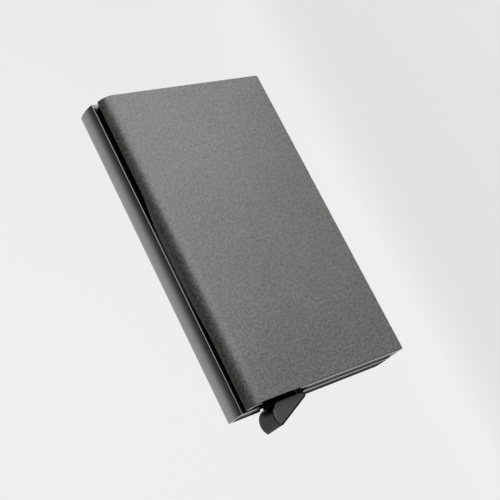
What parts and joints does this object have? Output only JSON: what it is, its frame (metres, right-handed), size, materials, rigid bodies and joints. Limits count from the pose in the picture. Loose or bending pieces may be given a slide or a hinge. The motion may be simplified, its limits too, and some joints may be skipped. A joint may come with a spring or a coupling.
{
  "type": "slide-cover card wallet",
  "caption": "Flat card case with a stepped ejector lever at one end and a sliding front cover that closes a note pocket with an elastic band.",
  "frame": {"origin": "centre of the card case's flat back face, which the wallet lies on", "axes": "+X across the wallet towards the side the cover slides out to, +Y along it towards the mouth the cards leave by, +Z out of the front"},
  "size_m": [0.0641, 0.1088, 0.0124],
  "materials": {
    "anodised_case": "satin grey anodised extrusion with brighter cut edges",
    "grained_cover": "fine grained matt warm grey powder coat",
    "grey_moulding": "fine moulded dark grey",
    "black_moulding": "fine spark-eroded black moulding",
    "bright_steel": "plain bright steel",
    "spring_bronze": "rolled phosphor bronze strip",
    "elastic_webbing": "ribbed black elastic",
    "pad_felt": "pressed dark felt"
  },
  "bodies": {
    "case": {"card_case": "anodised_case", "base_insert": "grey_moulding", "lever_pin": "bright_steel", "grip_pad_back_left": "pad_felt", "grip_pad_back_right": "pad_felt", "grip_pad_front_left": "pad_felt", "grip_pad_front_right": "pad_felt", "guide_shoe_top": "black_moulding", "guide_shoe_bottom": "black_moulding", "shoe_rivets": "bright_steel", "brake_spring_top": "spring_bronze", "brake_spring_bottom": "spring_bronze", "money_band": "elastic_webbing", "band_clip_top": "bright_steel", "band_clip_bottom": "bright_steel", "band_rivets": "bright_steel"},
    "lever": {"ejector_lever": "black_moulding"},
    "slide": {"slide_shell": "grained_cover", "slide_end_top": "grey_moulding", "slide_end_bottom": "grey_moulding"}
  },
  "joints": [
    {"name": "lever_swing", "type": "hinge", "parent": "case", "child": "lever", "pos_m": [-0.0245, -0.0476, 0.0038], "axis": [0, 0, 1], "range_deg": [0, 25]},
    {"name": "cover_slide", "type": "slide", "parent": "case", "child": "slide", "axis": [1, 0, 0], "range_m": [0, 0.025]}
  ]
}
